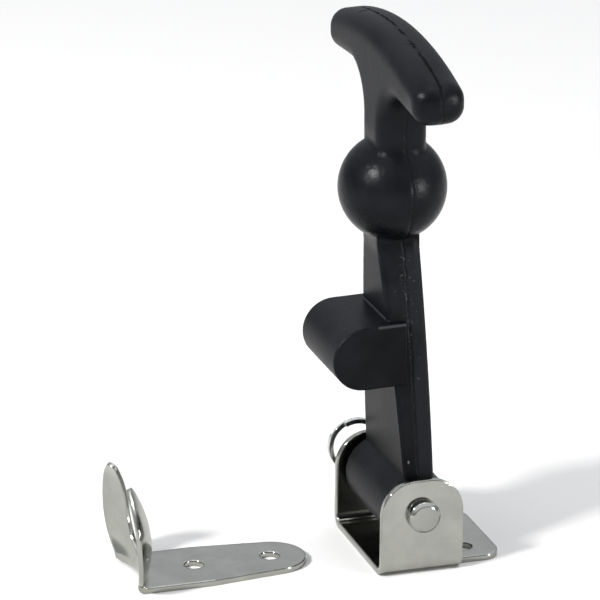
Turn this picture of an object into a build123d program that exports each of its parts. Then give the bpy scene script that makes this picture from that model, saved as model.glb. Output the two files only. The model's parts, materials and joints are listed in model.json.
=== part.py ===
from build123d import *
import os
from math import cos, radians, sin, sqrt

# Rubber T draw latch with its forked keeper.
# Frame: +Z up, z = 0 is the mounting surface. The pin's axis runs along Y above the origin, midway between the
# bracket's ears. The bracket's tail points to +X, the keeper lies on the -X side, the pin's head is at -Y.

# ---------------------------------------------------------------- driving dimensions (mm, degrees)
same_place = 0.01              # positions closer than this count as one
sheet = 1.5                    # thickness of both stainless sheets
screw_hole_radius = 2.5

pin_height = 15.6              # pin axis above the mounting surface
pin_radius = 3.0
pin_clearance = 0.05           # radial, in the ears and in the handle's bore
pin_head_radius = 4.0
pin_head_height = 2.5
pin_head_chamfer = 0.85
pin_seat_gap = 0.1             # between the head and the ear
pin_tail = 2.3                 # pin beyond the middle of its cross hole
pin_tail_chamfer = 0.5

ear_half_gap = 16.9            # from the middle plane to an ear's inner face
ear_half_width = 10.5          # along X
ear_height = 24.6
ear_corner_radius = 8.6
bend_inner_radius = 2.0
tail_reach = 22.4              # tail's edge, from the pin axis
tail_corner_radius = 4.5
tail_hole_x = 14.3
tail_hole_spacing = 16.4

handle_lean = 1.467            # the handle tips this far from upright, towards the keeper
barrel_radius = 9.0
barrel_side_gap = 2.1          # between the barrel's end and an ear
barrel_edge_chamfer = 0.6
strap_back = 4.2               # strap's flat back face, from the pin plane towards the tail
strap_front_low = 3.0          # strap's face on the keeper's side, at the pin's height ...
strap_front_high = 7.15        # ... and at the ball's centre
strap_waist_height = 36.0
strap_waist_half_width = 11.6
strap_top_height = 67.0
strap_top_half_width = 5.5
strap_edge_chamfer = 0.6
boss_rise = 3.9                # boss axis above the strap's waist
boss_offset = 12.4             # boss axis from the pin plane
boss_radius = 7.9
boss_overhang = 1.0            # boss stands out past the strap's waist on each side
boss_root = 1.5                # boss wraps the strap's sides as far as this from the pin plane
boss_edge_chamfer = 0.4
ball_height = 78.95            # ball's centre above the pin
ball_offset = 0.7              # ball's centre from the pin plane, towards the keeper
ball_radius = 13.3
neck_depth_in_ball = 6.6       # neck starts this far above the ball's centre, inside it
neck_half_width = 7.9
grip_set = 2.8                 # the soft neck has taken this set sideways, towards the pin's head
grip_half_thickness = 6.4      # neck and T-bar, along X
grip_round_share = 0.46        # radius of its long edges, as a share of the T-bar's depth at its ends
gusset_radius = 9.0
t_top = 119.2                  # top of the T-bar above the pin, at its middle
t_depth = 13.0                 # from its top to its underside, at its middle
t_top_arch_radius = 107.5
t_underside_arch_radius = 288.0
t_half_length = 33.9
t_end_dome_radius = 15.0
t_end_dome_sweep = 50.0        # how far round the dome's profile is drawn, past the T-bar's edges
t_end_round = 4.0

ring_mean_radius = 6.6
ring_band = 1.2                # radial width of the spring strip
ring_strip = 0.7               # thickness of one turn
ring_pitch = 0.76
ring_turns = 1.9
ring_ear_gap = 0.9             # between the rear ear and the ring
ring_direction = 135.0         # from the pin to the ring's centre, from +X towards +Z
ring_hole_clearance = 0.12

keeper_hole_near = 33.4        # first screw hole, from the pin axis
keeper_hole_spacing = 19.45
keeper_half_width = 10.8
keeper_end_radius = 8.7
keeper_end_centre = 33.1       # centre of the rounded end, from the pin axis
keeper_taper_start = 50.5      # full width from here to the fork
bend_round_below = 1.9         # at the foot of the fork, on the hollow side ...
bend_round_above = 1.0         # ... and on the plate's side
bend_reach = 1.5               # flat sheet between the bend and the joint with the plate
dish_radius = 25.0             # the hollow that receives the ball
dish_x = 90.4                  # its centre, from the pin axis
dish_z = 11.8                  # its centre, above the mounting surface
fork_wall = 1.1                # the pressing thins the sheet here
fork_foot_height = 2.8         # up to here the fork is as wide as the plate
waist_round = 1.2              # in the corner between the foot and the fork's belly

# The fork's outline is drawn in front of the dish, one dish radius from its centre. Heights count from that centre.
fork_half_width = 21.6
fork_belly_height = 2.5        # height of the prongs' widest point
fork_lower_radius = 16.1
fork_lower_sweep = 68.0        # from the widest point down to the foot
fork_upper_radius = 22.8
fork_upper_sweep = 80.0        # from the widest point up, past the prongs' tips
prong_tip_round = 2.8
notch_half_width = 10.4
notch_height = 3.0             # height of the notch's widest point
notch_flank_radius = 92.5
notch_flank_sweep = 16.0       # past the prongs' tips
cut_start = 0.5                # the cutter reaches from here to cut_end, in shares of the dish's radius
cut_end = 1.5

# ---------------------------------------------------------------- derived planes and places
ear_half_span = ear_half_gap + sheet
bend_outer_radius = bend_inner_radius + sheet
base_half_width = ear_half_span - bend_outer_radius
pin_hole_radius = pin_radius + pin_clearance
barrel_half_length = ear_half_gap - barrel_side_gap

pivot = Vector(0, 0, pin_height)
lean = radians(handle_lean)
handle_across = Vector(cos(lean), 0, sin(lean))      # square to the strap, away from the keeper
handle_up = Vector(-sin(lean), 0, cos(lean))         # along the strap
front_plane = Plane(origin=pivot, x_dir=(0, 1, 0), z_dir=handle_across)      # sketches in (y, height)
side_plane = Plane(origin=pivot, x_dir=handle_across, z_dir=(0, -1, 0))      # sketches in (across, height)

boss_height = strap_waist_height + boss_rise
boss_half_width = strap_waist_half_width + boss_overhang
ball_centre = pivot + handle_up * ball_height - handle_across * ball_offset

# The grip turns sideways about the neck's foot; its sketches keep the strap's heights.
neck_foot = ball_height + neck_depth_in_ball
grip_angle = radians(grip_set)
grip_along = Vector(0, cos(grip_angle), 0) + handle_up * sin(grip_angle)
grip_up = handle_up * cos(grip_angle) - Vector(0, sin(grip_angle), 0)
grip_origin = pivot + (handle_up - grip_up) * neck_foot
grip_plane = Plane(origin=grip_origin, x_dir=grip_along, z_dir=handle_across)

# The T-bar's ends: where its top and underside arrive, and the middle between them.
t_underside = t_top - t_depth
t_end_top = t_top - t_top_arch_radius + sqrt(t_top_arch_radius**2 - t_half_length**2)
t_end_underside = t_underside - t_underside_arch_radius + sqrt(t_underside_arch_radius**2 - t_half_length**2)
t_end_middle = (t_end_top + t_end_underside) / 2
grip_edge_round = grip_round_share * (t_end_top - t_end_underside)
dome_centre = t_half_length - t_end_dome_radius

# The double ring threads the pin's cross hole. Its curve inside the pin is centred in the straight hole.
ring_sag = ring_mean_radius - sqrt(ring_mean_radius**2 - pin_radius**2)
ring_half_depth = (ring_pitch + ring_strip) / 2
ring_half_band = (ring_band + ring_sag) / 2
cross_hole_radius = sqrt(ring_half_depth**2 + ring_half_band**2) + ring_hole_clearance
ring_centre_distance = ring_mean_radius - ring_sag / 2
ring_half_stack = (ring_turns * ring_pitch + ring_strip) / 2
ring_y = ear_half_span + ring_ear_gap + ring_half_stack
ring_angle = radians(ring_direction)
ring_outward = Vector(cos(ring_angle), 0, sin(ring_angle))
ring_through = Vector(sin(ring_angle), 0, -cos(ring_angle))
pin_crossing = Vector(0, ring_y, pin_height)
ring_centre = pin_crossing + ring_outward * ring_centre_distance

keeper_hole_middle = keeper_hole_near + keeper_hole_spacing / 2

# The fork's foot, from the dish's axis: the hollow face at the mounting surface, and the far face at the sheet's top.
foot_inner = sqrt(dish_radius**2 - dish_z**2)
foot_outer = sqrt((dish_radius + fork_wall) ** 2 - (dish_z - sheet) ** 2)
foot_reach = foot_outer + bend_round_above + bend_reach

os.makedirs("parts", exist_ok=True)

# ---------------------------------------------------------------- bracket: one folded sheet
with BuildPart() as bracket:
    # The channel's section, with its two bends, runs along X.
    with BuildSketch(Plane.YZ.offset(-ear_half_width)):
        with Locations((0, ear_height / 2)):
            Rectangle(2 * ear_half_span, ear_height)
        foot_corners = vertices().group_by(Axis.Y)[0]
        fillet(foot_corners, bend_outer_radius)
        with BuildSketch(mode=Mode.PRIVATE) as channel:
            with Locations((0, sheet)):
                Rectangle(2 * ear_half_gap, ear_height, align=(Align.CENTER, Align.MIN))
            fillet(channel.vertices().group_by(Axis.Y)[0], bend_inner_radius)
        add(channel.sketch, mode=Mode.SUBTRACT)
    extrude(amount=2 * ear_half_width)

    # The rounded outline of the ears, cut across both at once, with the pin's hole.
    with BuildSketch(Plane.XZ) as ear_outline:
        Rectangle(2 * ear_half_width, ear_height, align=(Align.CENTER, Align.MIN))
        fillet(ear_outline.vertices().group_by(Axis.Y)[-1], ear_corner_radius)
        with Locations((0, pin_height)):
            Circle(pin_hole_radius, mode=Mode.SUBTRACT)
    extrude(amount=2 * ear_half_span, both=True, mode=Mode.INTERSECT)

    # The tail runs on from the base between the bends.
    with BuildSketch(Plane.XY) as tail_outline:
        Rectangle(tail_reach, 2 * base_half_width, align=(Align.MIN, Align.CENTER))
        fillet(tail_outline.vertices().group_by(Axis.X)[-1], tail_corner_radius)
    extrude(amount=sheet)
    with Locations((tail_hole_x, 0, sheet)):
        with GridLocations(0, tail_hole_spacing, 1, 2):
            Hole(screw_hole_radius)

bracket.part.label = "bracket"
export_step(bracket.part, "parts/bracket.step")

# ---------------------------------------------------------------- handle: one rubber moulding


def is_grip_edge(edge):
    """True for the long edges of the neck, gusset and T-bar, on both faces, but not for the T-bar's ends."""
    along, height, across = grip_plane.to_local_coords(edge.center())
    on_face = abs(abs(across) - grip_half_thickness) < same_place
    between_ends = abs(along) < t_half_length - same_place
    return on_face and between_ends and height > neck_foot + same_place


with BuildPart() as boss_block:
    # A D-shaped stop that lies across the strap, with softened ends.
    with BuildSketch(side_plane):
        with Locations((-boss_root, boss_height)):
            Rectangle(boss_offset - boss_root, 2 * boss_radius, align=(Align.MAX, Align.CENTER))
        with Locations((-boss_offset, boss_height)):
            Circle(boss_radius)
    extrude(amount=boss_half_width, both=True)
    chamfer(boss_block.faces().filter_by(Axis.Y).edges(), boss_edge_chamfer)

with BuildPart() as handle:
    # Strap: its outline tapers in a long curve towards the ball, and its thickness grows the same way.
    with BuildSketch(front_plane):
        with BuildLine() as strap_outline:
            shoulder = (barrel_half_length, barrel_radius)
            waist = (strap_waist_half_width, strap_waist_height)
            top = (strap_top_half_width, strap_top_height)
            Line((0, 0), (barrel_half_length, 0))
            Line((barrel_half_length, 0), shoulder)
            ThreePointArc(shoulder, waist, top)
            Line(top, (strap_top_half_width, ball_height))
            Line((strap_top_half_width, ball_height), (0, ball_height))
            mirror(about=Plane.YZ)
        make_face()
    extrude(amount=2 * barrel_radius, both=True)
    with BuildSketch(side_plane):
        with BuildLine():
            Polyline(
                (strap_back, 0),
                (strap_back, ball_height),
                (-strap_front_high, ball_height),
                (-strap_front_low, 0),
                close=True,
            )
        make_face()
    extrude(amount=2 * barrel_half_length, both=True, mode=Mode.INTERSECT)
    strap_edges = handle.edges().filter_by(lambda edge: edge.length > strap_waist_height)
    chamfer(strap_edges, strap_edge_chamfer)

    # Grip: neck, gusset and T-bar share one outline and one thickness, with generously rounded edges.
    with BuildSketch(grip_plane) as grip_outline:
        with Locations((0, neck_foot)):
            Rectangle(2 * neck_half_width, t_underside - neck_foot, align=(Align.CENTER, Align.MIN))
        with BuildLine():
            ThreePointArc((-t_half_length, t_end_top), (0, t_top), (t_half_length, t_end_top))
            Line((t_half_length, t_end_top), (t_half_length, t_end_underside))
            ThreePointArc((t_half_length, t_end_underside), (0, t_underside), (-t_half_length, t_end_underside))
            Line((-t_half_length, t_end_underside), (-t_half_length, t_end_top))
        make_face()
        neck_sides = grip_outline.vertices().filter_by(
            lambda corner: abs(abs(corner.X) - neck_half_width) < same_place
        )
        fillet(neck_sides.group_by(Axis.Y)[-1], gusset_radius)
    extrude(amount=grip_half_thickness, both=True)
    long_edges = handle.edges().filter_by(is_grip_edge)
    fillet(long_edges, grip_edge_round)

    # The T-bar's ends are shallow domes with a softly rounded rim.
    for side, first_angle in ((1, 0), (-1, 180)):
        with BuildSketch(grip_plane):
            with BuildLine():
                sweep_angle = side * t_end_dome_sweep
                dome = CenterArc((side * dome_centre, t_end_middle), t_end_dome_radius, first_angle, sweep_angle)
                rim = dome @ 1
                beyond = side * 2 * t_half_length
                Polyline(rim, (beyond, rim.Y), (beyond, t_end_middle), dome @ 0)
            make_face()
        revolve(axis=Axis(grip_origin + grip_up * t_end_middle, grip_along), mode=Mode.SUBTRACT)
    domes = handle.faces().filter_by(GeomType.SPHERE)
    fillet(domes.edges(), t_end_round)

    # Ball that seats in the keeper's dish.
    with Locations(ball_centre):
        Sphere(ball_radius)

    add(boss_block.part)

    # Barrel round the pin.
    with BuildSketch(Plane.YZ.shift_origin(pivot)) as barrel_section:
        Rectangle(2 * barrel_half_length, barrel_radius, align=(Align.CENTER, Align.MIN))
        chamfer(barrel_section.vertices().group_by(Axis.Y)[-1], barrel_edge_chamfer)
    revolve(axis=Axis(pivot, (0, 1, 0)))

    # Bore for the pin.
    with BuildSketch(Plane.XZ.shift_origin(pivot)):
        Circle(pin_hole_radius)
    extrude(amount=2 * barrel_half_length, both=True, mode=Mode.SUBTRACT)

handle.part.label = "handle"
export_step(handle.part, "parts/handle.step")

# ---------------------------------------------------------------- clevis pin
with BuildPart() as clevis_pin:
    # Turned profile, from the head at -Y to the tail at +Y.
    with BuildSketch(Plane.YZ.shift_origin(pivot)) as pin_profile:
        with BuildLine():
            head_inner = -(ear_half_span + pin_seat_gap)
            head_outer = head_inner - pin_head_height
            tail_end = ring_y + pin_tail
            Polyline(
                (head_outer, 0),
                (head_outer, pin_head_radius),
                (head_inner, pin_head_radius),
                (head_inner, pin_radius),
                (tail_end, pin_radius),
                (tail_end, 0),
                close=True,
            )
        make_face()
        corners = pin_profile.vertices().sort_by(Axis.X)
        head_rim = corners.filter_by(lambda v: abs(v.X - head_outer) < same_place and v.Y > pin_radius)
        tail_rim = corners.filter_by(lambda v: abs(v.X - tail_end) < same_place and v.Y > pin_radius / 2)
        chamfer(head_rim, pin_head_chamfer)
        chamfer(tail_rim, pin_tail_chamfer)
    revolve(axis=Axis(pivot, (0, 1, 0)))

    # Cross hole for the split ring.
    with BuildSketch(Plane(origin=pin_crossing, z_dir=ring_through)):
        Circle(cross_hole_radius)
    extrude(amount=2 * pin_radius, both=True, mode=Mode.SUBTRACT)

clevis_pin.part.label = "clevis_pin"
export_step(clevis_pin.part, "parts/clevis_pin.step")

# ---------------------------------------------------------------- split ring: nearly two turns of strip
with BuildPart() as flat_coil:
    # Coiled about its own Z axis, from +X; the strip stays square to that axis.
    half_coil = ring_turns * ring_pitch / 2
    with BuildLine():
        coil = Helix(ring_pitch, 2 * half_coil, ring_mean_radius, center=(0, 0, -half_coil))
    with BuildLine():
        coil_axis = Line((0, 0, -half_coil), (0, 0, half_coil))
    with BuildSketch(Plane(origin=coil @ 0, x_dir=(1, 0, 0), z_dir=coil % 0)):
        Rectangle(ring_band, ring_strip)
    sweep(path=coil, binormal=coil_axis)

with BuildPart() as split_ring:
    # The free ends lie opposite the pin, so that both turns pass through its hole.
    towards_start = (-ring_outward).rotate(Axis.Y, 180 - 180 * ring_turns)
    with Locations(Plane(origin=ring_centre, x_dir=towards_start, z_dir=(0, 1, 0))):
        add(flat_coil.part)

split_ring.part.label = "split_ring"
export_step(split_ring.part, "parts/split_ring.step")

# ---------------------------------------------------------------- keeper: one pressed sheet


def is_waist_edge(edge):
    """True for the cutter's edges in the corner between the foot's straight side and the fork's belly."""
    on_side = abs(abs(edge.center().Y) - keeper_half_width) < same_place
    return on_side and edge.geom_type == GeomType.BSPLINE


dish_axis_foot = (-dish_x, 0, 0)
dish_section = Plane(origin=dish_axis_foot, x_dir=(1, 0, 0), z_dir=(0, -1, 0))

# The fork's outline: belly, prongs and notch.
with BuildSketch(Plane.YZ.offset(dish_radius)) as fork_outline:
    with BuildLine():
        lower_centre = (fork_half_width - fork_lower_radius, fork_belly_height)
        upper_centre = (fork_half_width - fork_upper_radius, fork_belly_height)
        belly = CenterArc(lower_centre, fork_lower_radius, -fork_lower_sweep, fork_lower_sweep)
        shoulder = CenterArc(upper_centre, fork_upper_radius, 0, fork_upper_sweep)
        foot_corner = belly @ 0
        Polyline(shoulder @ 1, (0, (shoulder @ 1).Y), (0, foot_corner.Y), foot_corner)
    make_face()
    with BuildLine():
        flank_centre = (notch_half_width - notch_flank_radius, notch_height)
        bottom = CenterArc((0, notch_height), notch_half_width, -90, 90)
        flank = CenterArc(flank_centre, notch_flank_radius, 0, notch_flank_sweep)
        Polyline(flank @ 1, (0, (flank @ 1).Y), bottom @ 0)
    make_face(mode=Mode.SUBTRACT)
    fillet(fork_outline.vertices().group_by(Axis.Y)[-1], prong_tip_round)
    mirror(about=Plane.YZ)

# It cuts along the rays from the dish's centre, square to the sheet. Below it the foot is as wide as the plate.
with BuildPart() as fork_cutter:
    near_outline = fork_outline.sketch.scale(cut_start)
    far_outline = fork_outline.sketch.scale(cut_end)
    loft(sections=[near_outline, far_outline], ruled=True)
    Sphere(dish_radius + fork_wall, mode=Mode.INTERSECT)
    with Locations((0, 0, -dish_z)):
        foot_align = (Align.MIN, Align.CENTER, Align.MIN)
        Box(foot_reach, 2 * keeper_half_width, fork_foot_height, align=foot_align)
    waist_edges = fork_cutter.edges().filter_by(is_waist_edge)
    fillet(waist_edges, waist_round)

with BuildPart() as keeper:
    # Fork: the dish's wall and the bend at its foot, turned about the dish's axis and cut to the outline.
    with BuildSketch(dish_section) as wall_section:
        with Locations((0, dish_z)):
            Circle(dish_radius + fork_wall)
        Rectangle(foot_reach, sheet, align=(Align.MIN, Align.MIN))
        with Locations((0, dish_z)):
            Circle(dish_radius, mode=Mode.SUBTRACT)
        Rectangle(foot_reach, 2 * dish_radius, align=(Align.MIN, Align.MIN), mode=Mode.INTERSECT)
        fillet(wall_section.vertices().sort_by_distance((foot_inner, 0))[0], bend_round_below)
        fillet(wall_section.vertices().sort_by_distance((foot_outer, sheet))[0], bend_round_above)
    revolve(axis=Axis(dish_axis_foot, (0, 0, 1)))
    with Locations((-dish_x, 0, dish_z)):
        add(fork_cutter.part, mode=Mode.INTERSECT)

    # Plate: it tapers to a round end, and its other end follows the bend.
    with BuildSketch(Plane.XY):
        with Locations((-keeper_end_centre, 0)):
            Circle(keeper_end_radius)
        with Locations((-keeper_taper_start, 0)):
            Rectangle(dish_x - keeper_taper_start, 2 * keeper_half_width, align=(Align.MAX, Align.CENTER))
        make_hull()
        with Locations((-dish_x, 0)):
            Circle(foot_reach, mode=Mode.SUBTRACT)
    extrude(amount=sheet)

    # Screw holes.
    with Locations((-keeper_hole_middle, 0, sheet)):
        with GridLocations(keeper_hole_spacing, 0, 2, 1):
            Hole(screw_hole_radius)

keeper.part.label = "keeper"
export_step(keeper.part, "parts/keeper.step")
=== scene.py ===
import json
import math

import bpy
from mathutils import Matrix, Vector

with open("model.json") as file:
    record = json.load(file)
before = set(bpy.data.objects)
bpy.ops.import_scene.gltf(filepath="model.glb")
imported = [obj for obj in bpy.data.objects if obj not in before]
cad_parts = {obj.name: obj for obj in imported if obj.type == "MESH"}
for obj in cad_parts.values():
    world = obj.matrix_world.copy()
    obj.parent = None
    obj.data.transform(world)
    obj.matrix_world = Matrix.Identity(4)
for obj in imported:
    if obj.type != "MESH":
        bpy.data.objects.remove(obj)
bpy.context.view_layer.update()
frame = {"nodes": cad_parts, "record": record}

# Lengths in this script are in millimetres; Blender's are in metres.
MM = 0.001
joints = {joint["name"]: joint for joint in frame["record"]["behaviour"]["joints"]}
pivot = Vector(joints["handle_pivot"]["pos_m"]) / MM

# The handle leans towards the keeper, by the same angle as in the part's source.
HANDLE_LEAN = math.radians(1.467)
handle_across = Vector((math.cos(HANDLE_LEAN), 0.0, math.sin(HANDLE_LEAN)))
handle_up = Vector((-math.sin(HANDLE_LEAN), 0.0, math.cos(HANDLE_LEAN)))
BALL_HEIGHT = 79.0                          # from the pin, along the strap


def on_handle(across, side, height):
    """A place on the handle, from the pin: away from the keeper, along the pin and up the strap."""
    return pivot + handle_across * across + Vector((0.0, side, 0.0)) + handle_up * height


# ---------------------------------------------------------------- camera
CAMERA_PLACE = Vector((-288.9, -820.3, 367.5))
CAMERA_AZIMUTH = math.radians(-17.774)      # of its view, from +Y; a turn towards +X is negative
CAMERA_ELEVATION = math.radians(19.195)     # it looks down by this angle
CAMERA_ROLL = math.radians(0.383)
CAMERA_LENS = 226.2
CAMERA_SENSOR = 36.0
CAMERA_NEAR = 50
CAMERA_FAR = 20000


def add_camera():
    """A long lens, from the keeper's side and the pin's head, looking slightly down."""
    data = bpy.data.cameras.new("camera")
    data.sensor_width = CAMERA_SENSOR
    data.lens = CAMERA_LENS
    data.clip_start = CAMERA_NEAR * MM
    data.clip_end = CAMERA_FAR * MM
    camera = bpy.data.objects.new("camera", data)
    bpy.context.scene.collection.objects.link(camera)
    level = math.cos(CAMERA_ELEVATION)
    sideways = -level * math.sin(CAMERA_AZIMUTH)
    away = level * math.cos(CAMERA_AZIMUTH)
    forward = Vector((sideways, away, -math.sin(CAMERA_ELEVATION)))
    right = forward.cross(Vector((0.0, 0.0, 1.0))).normalized()
    up = right.cross(forward)
    rotation = Matrix((right, up, -forward)).transposed()
    rotation = rotation @ Matrix.Rotation(CAMERA_ROLL, 3, "Z")
    camera.matrix_world = Matrix.Translation(CAMERA_PLACE * MM) @ rotation.to_4x4()
    bpy.context.scene.camera = camera


# ---------------------------------------------------------------- node helpers
def new_material(name):
    material = bpy.data.materials.new(name)
    material.use_nodes = True
    return material, material.node_tree, material.node_tree.nodes["Principled BSDF"]


def set_input(tree, node, key, value):
    """Links the input to value where that is an output of another node, and sets it otherwise."""
    if isinstance(value, bpy.types.NodeSocket):
        tree.links.new(value, node.inputs[key])
    else:
        node.inputs[key].default_value = value


def add_node(tree, kind, inputs=None, **settings):
    """A new node with its settings and inputs."""
    node = tree.nodes.new(kind)
    for name, value in settings.items():
        setattr(node, name, value)
    for key, value in (inputs or {}).items():
        set_input(tree, node, key, value)
    return node


def calculate(tree, operation, first, second=0.0, third=0.0, clamp=False):
    inputs = {0: first, 1: second, 2: third}
    return add_node(tree, "ShaderNodeMath", inputs, operation=operation, use_clamp=clamp).outputs[0]


def vector(tree, operation, first, second=None, output=0):
    inputs = {0: first} if second is None else {0: first, 1: second}
    return add_node(tree, "ShaderNodeVectorMath", inputs, operation=operation).outputs[output]


def scaled(tree, place, factor):
    inputs = {0: place, "Scale": factor}
    return add_node(tree, "ShaderNodeVectorMath", inputs, operation="SCALE").outputs[0]


def fade(tree, value, start, end, low=0.0, high=1.0):
    """Goes smoothly from low, where value is start, to high, where it is end."""
    inputs = {"Value": value, "From Min": start, "From Max": end, "To Min": low, "To Max": high}
    node = add_node(tree, "ShaderNodeMapRange", inputs, interpolation_type="SMOOTHSTEP")
    return node.outputs["Result"]


def near(tree, value, middle, inner, outer):
    """1 up to inner away from middle, falling to 0 at outer away from it."""
    off_middle = calculate(tree, "ABSOLUTE", calculate(tree, "SUBTRACT", value, middle))
    return fade(tree, off_middle, inner, outer, 1.0, 0.0)


def noise(tree, place, scale, detail=2.0, roughness=0.5):
    inputs = {"Vector": place, "Scale": scale, "Detail": detail, "Roughness": roughness}
    return add_node(tree, "ShaderNodeTexNoise", inputs).outputs["Fac"]


def mix_colour(tree, share, first, second):
    """From first to second by share. A Mix node's colours are its inputs 6 and 7 and output 2."""
    inputs = {0: share, 6: first, 7: second}
    return add_node(tree, "ShaderNodeMix", inputs, data_type="RGBA").outputs[2]


def add_bump(tree, strength, depth, height, below):
    """A relief on top of the normals that the node below gives."""
    inputs = {
        "Strength": strength,
        "Distance": depth * MM,
        "Height": height,
        "Normal": below.outputs[0],
    }
    return add_node(tree, "ShaderNodeBump", inputs)


def strongest(tree, first, *others):
    for other in others:
        first = calculate(tree, "MAXIMUM", first, other)
    return first


def product(tree, first, *others):
    for other in others:
        first = calculate(tree, "MULTIPLY", first, other)
    return first


def place_in_mm(tree):
    """The place on the piece at rest, in millimetres; it rides with the piece."""
    here = add_node(tree, "ShaderNodeTexCoord").outputs["Object"]
    return scaled(tree, here, 1 / MM)


STROKE_CORE = 0.4                           # share of a stroke's width that has its full strength


def stroke(tree, place, start, end, width, strength=1.0):
    """As strong as strength on the line from start to end, falling to 0 a width away from it."""
    run = end - start
    from_start = vector(tree, "SUBTRACT", place, start)
    along = vector(tree, "DOT_PRODUCT", from_start, run / run.length_squared, output="Value")
    share = calculate(tree, "ADD", along, clamp=True)
    gap = vector(tree, "DISTANCE", from_start, scaled(tree, run, share), output="Value")
    mask = fade(tree, gap, STROKE_CORE * width, width, 1.0, 0.0)
    return calculate(tree, "MULTIPLY", mask, strength)


def strokes(tree, place, rows):
    """The strongest of several strokes, one from each row."""
    masks = [
        stroke(tree, place, on_handle(*start), on_handle(*end), *look)
        for start, end, *look in rows
    ]
    return strongest(tree, *masks)


# ---------------------------------------------------------------- studio
KEY_DIRECTION = Vector((-0.778, -0.272, 0.571))     # from the ball
KEY_DISTANCE = 1200
KEY_SIZE = (180, 180)
KEY_POWER = 23.0
SIDE_DIRECTION = Vector((0.688, -0.721, 0.1))
SIDE_DISTANCE = 1300
SIDE_SIZE = (160, 200)
SIDE_POWER = 12.0
TOP_PLACE = (0, -100, 1400)
TOP_SIZE = (900, 900)
TOP_POWER = 5.0
SKY_LOW = 0.53
SKY_HIGH = 1.3
SKY_BEHIND_CAMERA = 0.2                             # share of the brightness that is left there
SKY_TINT = (0.95, 0.98, 1.03, 1.0)
FLOOR_COLOUR = (0.56, 0.551, 0.54, 1.0)
FLOOR_HALF_WIDTH = 4.0                              # in metres
FLOOR_GAP = 0.02                                    # below the mounting surface


def add_area_light(name, place, target, size, power):
    data = bpy.data.lights.new(name, "AREA")
    data.shape = "RECTANGLE"
    data.size = size[0] * MM
    data.size_y = size[1] * MM
    data.energy = power
    light = bpy.data.objects.new(name, data)
    light.location = Vector(place) * MM
    light.rotation_euler = (Vector(target) - Vector(place)).to_track_quat("-Z", "Y").to_euler()
    bpy.context.scene.collection.objects.link(light)


def add_world():
    """Soft light from all round, darker low down, and darkest behind the camera."""
    world = bpy.data.worlds.new("studio")
    world.use_nodes = True
    tree = world.node_tree
    direction = add_node(tree, "ShaderNodeTexCoord").outputs["Generated"]
    parts = add_node(tree, "ShaderNodeSeparateXYZ", {0: direction})
    open_sky = fade(tree, parts.outputs["Z"], 0.15, 0.75, SKY_LOW, SKY_HIGH)
    behind_camera = fade(tree, parts.outputs["Y"], -0.8, -0.45, SKY_BEHIND_CAMERA, 1.0)
    overhead = fade(tree, parts.outputs["Z"], 0.55, 0.75)
    brightness = product(tree, open_sky, strongest(tree, behind_camera, overhead))
    background = tree.nodes["Background"]
    tree.links.new(brightness, background.inputs["Strength"])
    background.inputs["Color"].default_value = SKY_TINT
    bpy.context.scene.world = world


def add_floor():
    mesh = bpy.data.meshes.new("floor")
    half = FLOOR_HALF_WIDTH
    corners = [(-half, -half, 0), (half, -half, 0), (half, half, 0), (-half, half, 0)]
    mesh.from_pydata(corners, [], [(0, 1, 2, 3)])
    floor = bpy.data.objects.new("floor", mesh)
    floor.location = (0.0, 0.0, -FLOOR_GAP * MM)
    material, _, shader = new_material("floor_pale")
    shader.inputs["Base Color"].default_value = FLOOR_COLOUR
    shader.inputs["Roughness"].default_value = 1.0
    shader.inputs["Specular IOR Level"].default_value = 0.0
    mesh.materials.append(material)
    bpy.context.scene.collection.objects.link(floor)


def add_studio():
    add_world()
    ball = on_handle(0.0, 0.0, BALL_HEIGHT)
    add_area_light("key", ball + KEY_DISTANCE * KEY_DIRECTION, ball, KEY_SIZE, KEY_POWER)
    add_area_light("side", ball + SIDE_DISTANCE * SIDE_DIRECTION, ball, SIDE_SIZE, SIDE_POWER)
    add_area_light("top", TOP_PLACE, (0, 0, 0), TOP_SIZE, TOP_POWER)
    add_floor()
    bpy.context.scene.view_settings.view_transform = "Standard"


# ---------------------------------------------------------------- materials
RUBBER_CLEAN = (0.0014, 0.0016, 0.0023, 1.0)
# Paler rubber: dust patches, and a paler band on the strap's side past the parting line.
RUBBER_PALE = (0.0062, 0.0068, 0.0084, 1.0)
# Pale marks: specks, scuffs, scratches and seams, and a painted highlight along the boss's end.
RUBBER_MARK_AND_HIGHLIGHT = (0.15, 0.16, 0.17, 1.0)
RUBBER_GROOVE = (0.001, 0.001, 0.001, 1.0)
RUBBER_SPECULAR = 0.075
RUBBER_ROUGHNESS = 0.34
RUBBER_SHINE = 0.14                         # how much smoother the ball and the T-bar's end are
GROOVE_DEPTH = 0.35
SKIN_DEPTH = 0.1
EDGE_RADIUS_LOW = 0.5                       # up to the boss ...
EDGE_RADIUS_HIGH = 2.2                      # ... and above it
PARTING_LINE_CORE = 0.15
PARTING_LINE_EDGE = 0.5

# Where looks change on the handle, from and to. Its front is the side of the pin's head.
T_BAR_TOP = (108.0, 114.0)                  # heights
STRAP_END = (62.0, 68.0)                    # heights, below the ball
BOSS_END = (46.0, 54.0)                     # heights
FRONT_FACE = (-5.0, -5.6)                   # sides, at the strap
FRONT_END = (-24.0, -31.0)                  # sides, at the T-bar

# Middles of looks, and how far from them the looks are complete and where they end.
BALL_REACH = (13.0, 17.0)
WORN_HEIGHT = 52.0
WORN_REACH = (10.0, 17.0)
SCUFFS_ACROSS = 0.3
SCUFFS_REACH = (1.2, 2.6)

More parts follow.
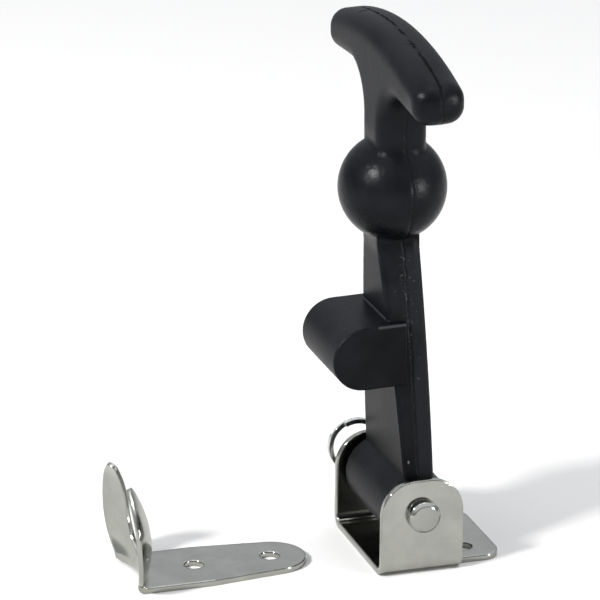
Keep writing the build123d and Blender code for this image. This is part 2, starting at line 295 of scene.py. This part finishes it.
# Each row has a start and an end on the handle (across, side, height), the width and, where it
# isn't 1, the strength.
TICKS = [
    ((-2.6, -13.2, 117.4), (0.3, -13.8, 117.6), 0.6),
    ((-2.9, 16.4, 118.2), (-0.2, 17.2, 118.6), 0.6),
]
SCRATCHES = [
    ((-3.2, -8.4, 54.9), (-2.0, -8.4, 55.2), 0.26),
    ((-2.0, -8.4, 55.2), (-1.0, -8.5, 54.8), 0.26),
    ((-1.0, -8.5, 54.8), (-0.4, -8.6, 53.8), 0.26),
    ((-0.4, -8.6, 53.8), (-0.3, -8.8, 52.6), 0.22),
    ((-4.2, -6.6, 64.6), (-3.7, -6.6, 64.4), 0.22),
    ((1.2, -11.8, 33.2), (1.7, -11.8, 33.0), 0.3),
    ((-2.2, -14.3, 12.4), (-2.2, -14.3, 12.8), 0.35),
]
# Two seams, and a painted highlight along the boss's rounded end.
SEAMS_AND_HIGHLIGHT = [
    ((-8.5, -12.4, 47.6), (-1.6, -12.4, 47.6), 0.5, 0.22),      # painted highlight along the boss's end
    ((-5.6, 9.0, 48.1), (-5.6, -8.0, 48.1), 0.3, 0.25),         # between the boss and the strap
    ((-6.6, 5.2, 67.6), (-6.6, -4.8, 67.6), 0.3, 0.2),          # between the strap and the ball
]


def rubber_material():
    """Moulded black rubber: satin, with a parting line, dusty patches, specks and a few scuffs."""
    material, tree, shader = new_material("moulded_rubber")
    place = place_in_mm(tree)
    from_pin = vector(tree, "SUBTRACT", place, pivot)
    across = vector(tree, "DOT_PRODUCT", from_pin, handle_across, output="Value")
    height = vector(tree, "DOT_PRODUCT", from_pin, handle_up, output="Value")
    side = add_node(tree, "ShaderNodeSeparateXYZ", {0: place}).outputs["Y"]

    # The parting line is in the middle of the handle's thickness, and heaviest on the T-bar's top.
    waver = calculate(tree, "MULTIPLY_ADD", noise(tree, place, 0.3, 4.0, 0.65), 1.6, -0.8)
    off_line = calculate(tree, "ABSOLUTE", calculate(tree, "ADD", across, waver))
    line = fade(tree, off_line, PARTING_LINE_CORE, PARTING_LINE_EDGE, 1.0, 0.0)
    on_top = fade(tree, height, *T_BAR_TOP, 0.3, 1.0)
    broken = fade(tree, noise(tree, place, 0.22, 2.0), 0.3, 0.5, 0.3, 1.0)
    groove = strongest(tree, product(tree, line, on_top, broken), strokes(tree, place, TICKS))

    # Scuffs and pale specks on the strap's side towards the pin's head.
    specks = fade(tree, noise(tree, place, 1.3, 4.0, 0.7), 0.58, 0.72, 0.0, 0.5)
    facing = fade(tree, side, *FRONT_FACE)
    in_band = near(tree, across, SCUFFS_ACROSS, *SCUFFS_REACH)
    worn_height = near(tree, height, WORN_HEIGHT, *WORN_REACH)
    scuffs = product(tree, specks, product(tree, in_band, worn_height, facing))
    # Scratches, seams and the painted highlight along the boss's end join the scuffs.
    marks_and_highlight = strongest(tree, scuffs, strokes(tree, place, SCRATCHES), strokes(tree, place, SEAMS_AND_HIGHLIGHT))

    # Dust dulls the rubber in soft patches; past the parting line, the strap's side towards the
    # pin's head is also paler and duller.
    patches = fade(tree, noise(tree, place, 0.05, 4.0, 0.6), 0.35, 0.75)
    on_strap = fade(tree, height, *STRAP_END, 1.0, 0.0)
    past_line = product(tree, fade(tree, across, 0.0, 0.6), facing, on_strap)
    dust_and_pale_band = calculate(tree, "MULTIPLY_ADD", past_line, 0.9, patches)
    dust_and_band_colour = mix_colour(tree, dust_and_pale_band, RUBBER_CLEAN, RUBBER_PALE)
    # Pale marks and the painted highlight along the boss's end, over the paler patches.
    marks_and_highlight_colour = mix_colour(tree, product(tree, marks_and_highlight, 0.7), dust_and_band_colour, RUBBER_MARK_AND_HIGHLIGHT)
    colour = mix_colour(tree, product(tree, groove, 0.8), marks_and_highlight_colour, RUBBER_GROOVE)
    tree.links.new(colour, shader.inputs["Base Color"])

    grain = noise(tree, place, 3.2, 4.0, 0.6)
    on_ball = near(tree, height, BALL_HEIGHT, *BALL_REACH)
    on_front_end = fade(tree, side, *FRONT_END)
    shiny = strongest(tree, on_ball, on_front_end)
    dullness = calculate(tree, "MULTIPLY_ADD", shiny, -RUBBER_SHINE, RUBBER_ROUGHNESS)
    patch_and_band_dullness = calculate(tree, "MULTIPLY_ADD", dust_and_pale_band, 0.08, dullness)
    roughness = calculate(tree, "MULTIPLY_ADD", grain, 0.1, patch_and_band_dullness)
    tree.links.new(strongest(tree, roughness, groove), shader.inputs["Roughness"])
    shader.inputs["Specular IOR Level"].default_value = RUBBER_SPECULAR

    # The edges are softer above the boss. This is shading only, and the mesh keeps its edges.
    softness = fade(tree, height, *BOSS_END, EDGE_RADIUS_LOW * MM, EDGE_RADIUS_HIGH * MM)
    edges = add_node(tree, "ShaderNodeBevel", {"Radius": softness}, samples=6)
    blotches = noise(tree, place, 0.55, 4.0, 0.65)
    depth = calculate(tree, "MULTIPLY_ADD", shiny, 1.0, 0.8)
    skin_height = calculate(tree, "MULTIPLY_ADD", grain, 0.2, product(tree, blotches, depth))
    skin = add_bump(tree, 0.6, SKIN_DEPTH, skin_height, edges)
    grooved = add_bump(tree, 1.0, GROOVE_DEPTH, calculate(tree, "SUBTRACT", 1.0, groove), skin)
    tree.links.new(grooved.outputs[0], shader.inputs["Normal"])
    return material


# Darker than the record's colours, to match the photograph's tone.
SHEET_STEEL = (0.365, 0.37, 0.335)
PIN_STEEL = (0.33, 0.335, 0.31)
RING_STEEL = (0.66, 0.67, 0.65)
STEEL_MOTTLE_AND_REFLECTION = 0.16                         # the duller patches, mottling with painted cloudy reflections, are darker by this share
STEEL_RELIEF = 0.12


def steel_material(name, colour, roughness, edge_radius):
    """Stainless steel: rims rounded by shading, a fine grain, faint mottling with painted cloudy
    reflections, and rolled streaks.
    """
    material, tree, shader = new_material(name)
    place = place_in_mm(tree)
    shader.inputs["Metallic"].default_value = 1.0

    # The darker cloudy patches are mottling with painted reflections; they also roughen the steel.
    cloud = noise(tree, place, 0.12, 4.0, 0.6)
    grain = noise(tree, place, 6.0, 3.0, 0.6)
    mottle_and_reflection_colour = tuple(channel * (1.0 - STEEL_MOTTLE_AND_REFLECTION) for channel in colour)
    shade = mix_colour(tree, fade(tree, cloud, 0.3, 0.7), (*colour, 1.0), (*mottle_and_reflection_colour, 1.0))
    tree.links.new(shade, shader.inputs["Base Color"])
    rolled = vector(tree, "MULTIPLY", place, Vector((1.2, 1.2, 0.12)))
    streaks = noise(tree, rolled, 1.0, 3.0)
    streaked = calculate(tree, "MULTIPLY_ADD", streaks, 0.08, roughness - 0.09)
    worn = calculate(tree, "MULTIPLY_ADD", cloud, 0.1, streaked)

    # The rounded rims are smoother than the faces.
    edges = add_node(tree, "ShaderNodeBevel", {"Radius": edge_radius * MM}, samples=8)
    facet = add_node(tree, "ShaderNodeNewGeometry").outputs["True Normal"]
    flatness = vector(tree, "DOT_PRODUCT", edges.outputs[0], facet, output="Value")
    satin = fade(tree, flatness, 0.8, 0.97, 0.4, 1.0)
    tree.links.new(product(tree, worn, satin), shader.inputs["Roughness"])
    relief = calculate(tree, "MULTIPLY_ADD", grain, 0.03, noise(tree, place, 0.11, 2.0))
    bump = add_bump(tree, 0.3, STEEL_RELIEF, relief, edges)
    tree.links.new(bump.outputs[0], shader.inputs["Normal"])
    return material


def dress(node, material):
    for slot in frame["nodes"][node].material_slots:
        slot.material = material


add_camera()
add_studio()
sheet_steel = steel_material("satin_stainless", SHEET_STEEL, roughness=0.16, edge_radius=0.75)
pin_steel = steel_material("turned_stainless", PIN_STEEL, roughness=0.12, edge_radius=0.5)
ring_steel = steel_material("spring_wire", RING_STEEL, roughness=0.2, edge_radius=0.2)
dress("handle", rubber_material())
dress("bracket", sheet_steel)
dress("keeper", sheet_steel)
dress("clevis_pin", pin_steel)
dress("split_ring", ring_steel)
